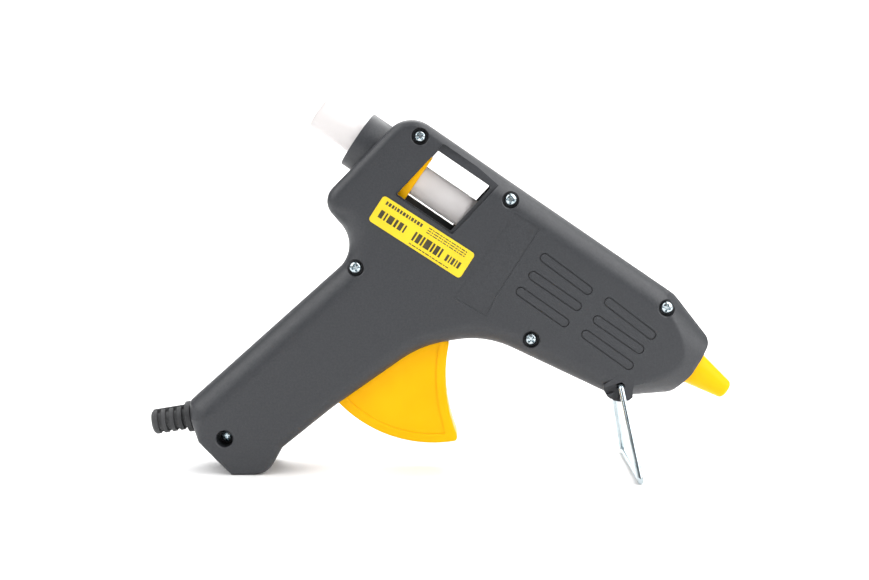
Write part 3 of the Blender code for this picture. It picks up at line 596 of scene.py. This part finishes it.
def half_body(outline, wall, seam, angles, fine):
    """One half of the housing's outer form, or of its cavity, on the -y side."""
    rim = [p[:2] for p in outline] if wall == 0 else inset(outline, wall, 0.0)
    inner = [p for angle in angles for p in inset(outline, wall, math.radians(angle))]
    if fine:
        inner += grid_points(outline, inner)
    places = [Vector(p) for p in rim + inner]
    flat, _, faces, *_ = delaunay_2d_cdt(places, [], [list(range(len(rim)))], 1, 1e-4)
    widths = half_width([tuple(p) for p in flat], outline, wall)
    points = [(p.x, -w, p.y) for p, w in zip(flat, widths)]
    count = len(rim)
    points += [(u, -seam, v) for u, v in rim]
    base = len(flat)
    faces = [list(f) for f in faces]
    faces.append([base + i for i in range(count)])
    faces += [(i, (i + 1) % count, base + (i + 1) % count, base + i) for i in range(count)]
    return solid(points, faces)


def mirrored(piece):
    """Turn a piece on the -y side into its counterpart on the +y side."""
    piece.data.transform(Matrix.Scale(-1, 4, (0, 1, 0)))
    piece.data.flip_normals()
    return piece


def relief_frame():
    """Placement of the cord entry: its own u axis points out of the handle."""
    u, v = standing(*RELIEF_CENTRE)
    along = turn_down(-math.cos(math.radians(RELIEF_TILT)), -math.sin(math.radians(RELIEF_TILT)))
    turn = Vector((along[0], 0.0, along[1])).to_track_quat('X', 'Y').to_matrix().to_4x4()
    return Matrix.Translation((u, 0.0, v)) @ turn


def trigger_slot():
    """Slot in the front of the handle, ending on the arc that the trigger's lower edge follows."""
    low = Vector(PIVOT) + Vector((-0.18, -0.984)) * (TRIGGER_REACH + 0.5)
    across = Vector((0.984, -0.18))
    return (tuple(low + across * 10), (-92.0, -66.0), (-82.0, -43.0), (-87.2, -36.8), (-93.0, -32.0),
            (-117.0, -60.0), tuple(low - across * 10))


def screw_frame(place, y):
    """A screw's own frame: its u axis points along +y from its head."""
    return Matrix.Translation((place[0], y, place[1])) @ Matrix.Rotation(math.radians(90), 4, 'Z')


def well(place):
    """Cutter for a screw's well, with a small chamfer at its mouth."""
    seat = SCREW_HEAD_Y + SCREW_HEAD_HEIGHT + place[2] + WELL_FIT
    mouth = -HALF_WIDTH + WELL_CHAMFER
    flare = WELL_RADIUS + OUTSIDE + mouth
    profile = ((-OUTSIDE, 0.0), (-OUTSIDE, flare), (mouth, WELL_RADIUS), (seat, WELL_RADIUS), (seat, 0.0))
    return turned(profile, screw_frame(place, 0.0), 36, bored=False)


def side_relief(side):
    """Shallow cuts in a half's side: the stepped panel and the outlines of the vents."""
    cuts = [prism(PANEL, *outward(side, HALF_WIDTH - PANEL_DEPTH))]
    for vent in VENTS:
        groove = prism(capsule(*vent, VENT_RADIUS + VENT_LINE), *outward(side, HALF_WIDTH - VENT_DEPTH))
        core = capsule(*vent, VENT_RADIUS - VENT_LINE)
        middle = prism(core, *outward(side, HALF_WIDTH - VENT_CORE_DEPTH, 1.0))
        cuts.append(boolean(groove, 'DIFFERENCE', [middle]))
    return cuts


def make_housing(side):
    """One half of the housing, side -1 (right, with the screw wells) or 1 (left)."""
    fine = subdivided(rounded(OUTLINE), OUTLINE_STEP)
    coarse = subdivided(rounded(OUTLINE, 18.0), 9.0)
    body = half_body(fine, 0.0, SEAM, range(9, 91, 9), True)
    cavity = half_body(coarse, WALL, -2.0, (45, 90), False)
    boss = prism(STAND_BOSS, -HALF_WIDTH - BOSS_PROUD, -SEAM - BOSS_PROUD)
    if side > 0:
        body, cavity, boss = mirrored(body), mirrored(cavity), mirrored(boss)
    boolean(body, 'UNION', [boss])
    posts = [cross_rod(place, POST_RADIUS, *outward(side, POST_START), 24) for place in SCREWS]
    boolean(cavity, 'DIFFERENCE', posts)
    boolean(body, 'DIFFERENCE', [cavity])

    cuts = [rod((-160, 0, 0), (-141, 0, 0), COLLAR_RADIUS + FIT, 64)]
    cuts.append(turned(((-24.5, 0.0), (-24.5, 9.3), (-20.4, 9.3), (-20.4, 8.0), (-14.5, 6.6), (-10, 6.6),
                        (-10, 0.0)), bored=False))
    cuts.append(prism(rounded_polygon(WINDOW, 0.5), -OUTSIDE, OUTSIDE))
    cuts.append(prism(rounded_polygon(WINDOW_RECESS, 0.8), *outward(side, HALF_WIDTH - RECESS_DEPTH)))
    cuts.append(prism(trigger_slot(), -TRIGGER_HALF - TRIGGER_GAP, TRIGGER_HALF + TRIGGER_GAP))
    cuts.append(cross_rod(STAND_PIVOT, STAND_WIRE + STAND_FIT, *outward(side, STAND_HOLE_END), 24))
    cuts.append(turned(((-16, 0.0), (-16, 4.1), (8, 4.1), (8, 0.0)), relief_frame(), 32, bored=False))
    boolean(body, 'DIFFERENCE', cuts)
    boolean(body, 'DIFFERENCE', side_relief(side))
    grooves = [prism(capsule(*groove, STAND_GROOVE_RADIUS), *outward(side, HALF_WIDTH - STAND_GROOVE_DEPTH))
               for groove in STAND_GROOVES]
    boolean(grooves[0], 'UNION', [grooves[1]])
    boolean(body, 'DIFFERENCE', [grooves[0]])
    if side < 0:
        boolean(body, 'DIFFERENCE', [well(place) for place in SCREWS])
    name, node = ("right_side", "right_housing") if side < 0 else ("left_side", "left_housing")
    finish(body, name, "housing", "housing", node, sharp=28.0)
    weighted = body.modifiers.new("normals", 'WEIGHTED_NORMAL')
    weighted.keep_sharp = True
    return body


# ---------------------------------------------------------------- trigger and feed

def from_pivot(x, z):
    """A point given from the trigger's pivot in the standing frame, in the barrel frame."""
    u, v = turn_down(x, z)
    return PIVOT[0] + u, PIVOT[1] + v


def trigger_outline(shrink, open_rear):
    """Side view of the trigger, or of its hollow when shrink isn't 0."""
    radius = FINGER_RADIUS + shrink
    finger = arc(FINGER_CENTRE, radius, 168.0, 202.0 - shrink * 1.8, 2.0)
    reach = TRIGGER_REACH - shrink
    low, high = TRIGGER_ANGLES
    lower = arc((0.0, 0.0), reach, -90.0 - low - shrink * 1.5, -90.0 - high - open_rear * 8, 2.0)
    rear = ((-20.0 - open_rear * 10, -8.0), (-4.6, 2.0))
    return [from_pivot(x, z) for x, z in (*finger, *lower, *rear)]


def drive_pin_place():
    """Drive pin at the top of the trigger's fork."""
    swing = math.radians(PULL / 2)
    return PIVOT[0] - LUG_RADIUS * math.sin(swing), PIVOT[1] + LUG_RADIUS * math.cos(swing)


def fork_cheek(low, high):
    """One cheek of the fork that carries the drive pin."""
    top = drive_pin_place()
    across = Vector((top[1] - PIVOT[1], PIVOT[0] - top[0])).normalized()
    angle = math.degrees(math.atan2(across.y, across.x))
    outline = arc(PIVOT, CHEEK_RADII[0], angle + 180.0, angle + 360.0, 10.0)
    outline += arc(top, CHEEK_RADII[1], angle, angle + 180.0, 10.0)
    return prism(outline, low, high)


def make_trigger():
    body = bevelled(prism(trigger_outline(0.0, 0), -TRIGGER_HALF, TRIGGER_HALF), TRIGGER_EDGE, 3)
    hollow = prism(trigger_outline(TRIGGER_WALL, 1), -TRIGGER_HALF + TRIGGER_SIDE_WALL,
                   TRIGGER_HALF - TRIGGER_SIDE_WALL)
    boolean(body, 'DIFFERENCE', [hollow, cross_rod(PIVOT, SPRING_ROOM, -2.3, 2.3)])
    hubs = [cross_rod(PIVOT, HUB_RADIUS, *sorted((side * HUB_START, side * HUB_END))) for side in (-1, 1)]
    cheeks = [fork_cheek(*CHEEK), fork_cheek(-CHEEK[1], -CHEEK[0])]
    boolean(body, 'UNION', hubs + cheeks)
    bores = [cross_rod(PIVOT, PIVOT_BORE, -OUTSIDE, OUTSIDE),
             cross_rod(drive_pin_place(), PIN_BORE, -OUTSIDE, OUTSIDE, 24)]
    boolean(body, 'DIFFERENCE', bores)
    panels = [prism(trigger_outline(TRIGGER_RIM, 0), *outward(side, TRIGGER_HALF - TRIGGER_RIM_DEPTH))
              for side in (-1, 1)]
    boolean(body, 'DIFFERENCE', panels)
    finish(body, "trigger_lever", "trigger", "yellow_plastic", "trigger")


def make_carriage():
    rear = CARRIAGE_FRONT - CARRIAGE_LENGTH
    carriage = bevelled(block((rear, -8.5, -12.0), (CARRIAGE_FRONT, 8.5, 8.1)), 0.4)
    collar = bevelled(block((CARRIAGE_FRONT - 3.2, -9.0, -8.0), (CARRIAGE_FRONT + 0.01, 9.0, 9.2)), 0.4)
    boolean(carriage, 'UNION', [collar])
    bore = rod((rear - 5, 0, 0), (CARRIAGE_FRONT + 5, 0, 0), GUIDE_RADIUS, 48)
    slot = block((rear - 5, -LINK_HALF - FIT, -15), (CARRIAGE_FRONT + 5, LINK_HALF + FIT, -3))
    boolean(carriage, 'DIFFERENCE', [bore, slot, cross_rod((-136, -9.5), 1.1, -OUTSIDE, OUTSIDE, 24)])
    finish(carriage, "stick_carriage", "carriage", "yellow_plastic", "feed_carriage")


def make_stick():
    front = STICK_REAR + STICK_LENGTH
    edge = arc((STICK_EDGE, 0.0), STICK_EDGE, 180.0, 90.0, 22.5)
    rear_edge = [(STICK_REAR + along, STICK_RADIUS - STICK_EDGE + out) for along, out in edge]
    front_edge = [(front - along, STICK_RADIUS - STICK_EDGE + out) for along, out in reversed(edge)]
    middle = [(STICK_REAR + along, STICK_RADIUS) for along in np.arange(6.0, STICK_LENGTH - 4, 6.0)]
    profile = ((STICK_REAR, 0.0), *rear_edge, *middle, *front_edge, (front, 0.0))
    finish(turned(profile, sides=64, bored=False), "melt_stick", "glue_stick", "glue", "glue_stick")


def make_collar():
    profile = ((COLLAR_REAR, GUIDE_RADIUS + 0.9), (COLLAR_REAR, COLLAR_RADIUS - 0.4),
               (COLLAR_REAR + 0.12, COLLAR_RADIUS - 0.12), (COLLAR_REAR + 0.4, COLLAR_RADIUS),
               (COLLAR_FRONT, COLLAR_RADIUS), (COLLAR_FRONT, GUIDE_RADIUS), (COLLAR_REAR + 2.5, GUIDE_RADIUS))
    finish(turned(profile, sides=72), "stick_inlet", "housing", "housing", "inlet_collar")


# ---------------------------------------------------------------- nozzle, stand, cord entry

def make_cover():
    tip = arc((-1.0, 1.85), 1.6, 79.0, 5.0, 12.0)
    cover = ((-23.0, 6.2), (-23.0, 8.6), (-22.8, 8.8), (-21.0, 8.8), (-20.8, 8.6), (-20.8, 7.3),
             *tip, (0.6, 1.4), (0.4, 1.2), (-2.2, 1.35), (-20.0, 5.0))
    finish(turned(cover, sides=72), "tip_cover", "housing", "yellow_plastic", "nozzle_cover")


def bent(route, radius, steps=6):
    """A route in space with its corners rounded."""
    points = [Vector(route[0])]
    for before, here, after in zip(route, route[1:], route[2:]):
        here = Vector(here)
        back, ahead = Vector(before) - here, Vector(after) - here
        tangent = radius * math.tan((math.pi - back.angle(ahead)) / 2)
        reach = min(tangent, back.length * 0.45, ahead.length * 0.45)
        start, end = here + back.normalized() * reach, here + ahead.normalized() * reach
        for k in range(steps + 1):
            t = k / steps
            points.append(start * (1 - t) ** 2 + here * 2 * t * (1 - t) + end * t ** 2)
    return points + [Vector(route[-1])]


def make_stand():
    pivot_x = TIP_X + STAND_PIVOT[0] * COS_TILT + STAND_PIVOT[1] * SIN_TILT
    pivot_z = TIP_Z - STAND_PIVOT[0] * SIN_TILT + STAND_PIVOT[1] * COS_TILT
    right = [(pivot_x, -STAND_END, pivot_z), (pivot_x, -STAND_TOP_HALF, pivot_z)]
    right += [(STAND_FOOT_X, -STAND_FOOT_HALF - 0.1, STAND_WIRE)]
    left = [(x, -y, z) for x, y, z in reversed(right)]
    curve = bpy.data.curves.new("stand_wire", 'CURVE')
    curve.dimensions = '3D'
    curve.bevel_depth = STAND_WIRE * MM
    curve.bevel_resolution = 6
    curve.use_fill_caps = True
    spline = curve.splines.new('POLY')
    route = bent(right + left, STAND_BEND)
    spline.points.add(len(route) - 1)
    for point, (x, y, z) in zip(spline.points, route):
        u, v = standing(x, z)
        point.co = (u * MM, y * MM, v * MM, 1.0)
    guide = bpy.data.objects.new("stand_wire", curve)
    bpy.context.scene.collection.objects.link(guide)
    mesh = bpy.data.meshes.new_from_object(guide)
    bpy.data.objects.remove(guide)
    wire = bpy.data.objects.new("wire_stand", mesh)
    bpy.context.scene.collection.objects.link(wire)
    finish(wire, "wire_stand", "stand", "zinc", "stand")


def make_cord_entry():
    rings = []
    for k in range(RING_COUNT):
        start = RING_START + RELIEF_PITCH * k
        ring, end = start + RING_GAP, start + RELIEF_PITCH
        rings += [(start, RING_LOW), (ring, RING_LOW), (ring, RING_HIGH - RING_EDGE)]
        rings += [(ring + RING_EDGE, RING_HIGH), (end - RING_EDGE, RING_HIGH), (end, RING_HIGH - RING_EDGE)]
    flange = ((-0.9, 3.8), (-0.9, 5.2), (-0.7, 5.4), (0.8, 5.4), (1.0, 5.2), (1.0, 4.2))
    profile = ((-9.5, CORD_RADIUS), (-9.5, 3.8), *flange, *rings, (13.0, 3.8), (13.2, 3.5),
               (13.2, CORD_RADIUS))
    body = turned(profile, relief_frame(), 48)
    ribs = []
    for low, high, near, far in RELIEF_RIBS:
        rib = block((RIB_START, low, near), (RIB_END, high, far))
        rib.data.transform(scaled(relief_frame()))
        ribs.append(rib)
    boolean(body, 'UNION', ribs)
    finish(body, "bend_relief", "housing", "soft_rubber", "strain_relief")


# ---------------------------------------------------------------- screws

def recess_slab(turn):
    """One tapered arm of a cross recess, at the head's middle, opening towards -u."""
    points = [(along, y * length, z * width)
              for along, length, width in zip(CROSS_REACH, CROSS_HALF_LENGTH, CROSS_HALF_WIDTH)
              for y, z in ((-1, -1), (1, -1), (1, 1), (-1, 1))]
    faces = [(0, 1, 2, 3), (4, 5, 6, 7), (0, 1, 5, 4), (1, 2, 6, 5), (2, 3, 7, 6), (3, 0, 4, 7)]
    slab = solid(points, faces)
    slab.data.transform(Matrix.Rotation(math.radians(turn), 4, 'X'))
    return slab


def make_screws():
    angles = np.linspace(0, math.pi / 2, 9)
    dome = [(SCREW_DOME * (1 - math.cos(a)), SCREW_HEAD * math.sin(a)) for a in angles]
    for number, (place, turn) in enumerate(zip(SCREWS, SCREW_TURNS), 1):
        head = SCREW_HEAD_Y + place[2]
        tip = SCREW_TIP_Y - head
        profile = [(along, radius if k else 0.0) for k, (along, radius) in enumerate(dome)]
        profile += [(SCREW_HEAD_HEIGHT, SCREW_HEAD), (SCREW_HEAD_HEIGHT, SCREW_RADIUS),
                    (tip - 1.0, SCREW_RADIUS), (tip, 0.6), (tip, 0.0)]
        screw = turned(profile, sides=36, bored=False)
        cross = boolean(recess_slab(turn), 'UNION', [recess_slab(turn + 90.0)])
        boolean(screw, 'DIFFERENCE', [cross])
        screw.data.transform(scaled(screw_frame(place, head)))
        finish(screw, f"cross_screw_{number}", "housing", "zinc", f"housing_screw_{number}")


# ---------------------------------------------------------------- label

def on_label(a, b):
    """A point of the label, a along it and b across it from its middle, in the barrel frame."""
    place = Vector(LABEL_CENTRE) + Matrix.Rotation(math.radians(LABEL_TURN), 2) @ Vector((a, b))
    return place.x, place.y


def bar(a, b, length, height):
    """A printed bar with its left end and its middle height."""
    low, high = b - height / 2, b + height / 2
    corners = ((a, low), (a + length, low), (a + length, high), (a, high))
    return prism([on_label(*corner) for corner in corners], *PRINT_Y)


def row_of_bars(start, end, b, height, lengths, gap):
    """A row of bars of repeating lengths."""
    marks, a, k = [], start, 0
    while a + lengths[k % len(lengths)] <= end:
        marks.append(bar(a, b, lengths[k % len(lengths)], height))
        a += lengths[k % len(lengths)] + gap
        k += 1
    return marks


def make_label():
    a, b = LABEL_SIZE[0] / 2, LABEL_SIZE[1] / 2
    outline = [on_label(*p) for p in rounded_polygon(((-a, -b), (a, -b), (a, b), (-a, b)), LABEL_CORNER)]
    film = bevelled(prism(outline, *LABEL_Y), 0.06, 1, 60.0)
    finish(film, "plain_label", "housing", "label", "rating_label")

    marks = row_of_bars(-16.2, -1.2, 3.25, 1.25, (0.7, 0.9, 0.75, 0.5, 0.85), 0.38)
    marks += row_of_bars(-16.2, -4.0, -0.9, 2.8, (1.5, 0.6, 2.1, 0.9), 0.6)
    marks += row_of_bars(-2.6, 9.0, -1.1, 3.3, (0.75, 1.5, 0.75, 2.2), 0.5)
    marks += row_of_bars(10.4, 16.4, -1.3, 2.4, (0.9, 0.45), 0.5)
    for line in range(3):
        marks += row_of_bars(0.4, 16.8, 3.9 - 0.85 * line, 0.34, (1.3, 0.6, 1.7, 0.9, 0.5), 0.3)
    marks += row_of_bars(-2.6, 13.0, -4.0, 0.34, (0.9, 1.5, 0.6, 1.1), 0.3)
    print_marks = joined(marks)
    finish(print_marks, "label_print", "housing", "label", finish_material=INK)


# ---------------------------------------------------------------- studio

FLOOR_FRONT, FLOOR_BACK, FLOOR_SIDE = -2.2, 1.6, 2.4
COVE_RADIUS, COVE_TOP = 0.5, 1.8
WORLD_STRENGTH = 0.22
GUN_MIDDLE = (0.0, 0.0, 0.06)

# Name, place, aim, size and power of each area light, in metres and watts
LIGHTS = (
    ("right_light", (0.92, -0.40, 0.86), GUN_MIDDLE, 1.6, 27.0),
    ("left_light", (-0.85, -0.35, 0.85), GUN_MIDDLE, 1.2, 13.0),
    ("top_light", (0.2, 0.55, 1.1), GUN_MIDDLE, 1.2, 6.0),
    ("floor_light", (0.0, 1.1, 1.3), (0.0, 0.7, 0.0), 1.4, 20.0),
    ("wall_light", (0.0, 1.0, 1.5), (0.0, 2.1, 0.6), 1.4, 20.0),
)

LENS = 58.27
SENSOR = 36.0
CAMERA_PLACE = (5.15, -485.0, 109.1)
CAMERA_TURN = (84.5, 0.0, 0.8)


def make_floor():
    """A pale floor that curves up into a wall at the back."""
    mesh = bpy.data.meshes.new("floor")
    profile = [(FLOOR_FRONT, 0.0)]
    for angle in np.linspace(0, math.pi / 2, 13):
        profile.append((FLOOR_BACK + COVE_RADIUS * math.sin(angle), COVE_RADIUS * (1 - math.cos(angle))))
    profile.append((FLOOR_BACK + COVE_RADIUS, COVE_TOP))
    points = [(x, y, z) for x in (-FLOOR_SIDE, FLOOR_SIDE) for y, z in profile]
    count = len(profile)
    mesh.from_pydata(points, [], [(i, i + 1, i + 1 + count, i + count) for i in range(count - 1)])
    mesh.shade_smooth()
    floor = bpy.data.objects.new("floor", mesh)
    bpy.context.scene.collection.objects.link(floor)
    pale = material("pale_floor", (0.90, 0.90, 0.90), (0.93, 0.93, 0.93), (0.6, 0.7), mottle=2.0, grain=40.0,
                    relief=0.0001)
    mesh.materials.append(pale)


def make_lights():
    world = bpy.data.worlds.new("studio")
    world.use_nodes = True
    background = world.node_tree.nodes['Background']
    background.inputs['Color'].default_value = (1.0, 1.0, 1.0, 1.0)
    background.inputs['Strength'].default_value = WORLD_STRENGTH
    bpy.context.scene.world = world
    bpy.context.scene.view_settings.view_transform = 'Standard'

    for name, place, aim, size, energy in LIGHTS:
        light = bpy.data.lights.new(name, 'AREA')
        light.energy = energy
        light.size = size
        lamp = bpy.data.objects.new(name, light)
        lamp.location = place
        lamp.rotation_euler = (Vector(aim) - Vector(place)).to_track_quat('-Z', 'Y').to_euler()
        bpy.context.scene.collection.objects.link(lamp)


def make_camera():
    data = bpy.data.cameras.new("camera")
    data.lens = LENS
    data.sensor_width = SENSOR
    data.clip_start = 0.01
    camera = bpy.data.objects.new("camera", data)
    camera.location = [x * MM for x in CAMERA_PLACE]
    camera.rotation_euler = [math.radians(angle) for angle in CAMERA_TURN]
    bpy.context.scene.collection.objects.link(camera)
    bpy.context.scene.camera = camera


def dress_cad():
    """Give every CAD node that stays its procedural material."""
    for row in frame["record"]["subparts"]:
        node = frame["nodes"][row["node"]]
        node.data.materials.clear()
        node.data.materials.append(MATERIALS[row["material_slot"]])


make_camera()
dress_cad()
make_housing(-1)
make_housing(1)
make_trigger()
make_carriage()
make_stick()
make_collar()
make_cover()
make_stand()
make_cord_entry()
make_screws()
make_label()
make_floor()
make_lights()
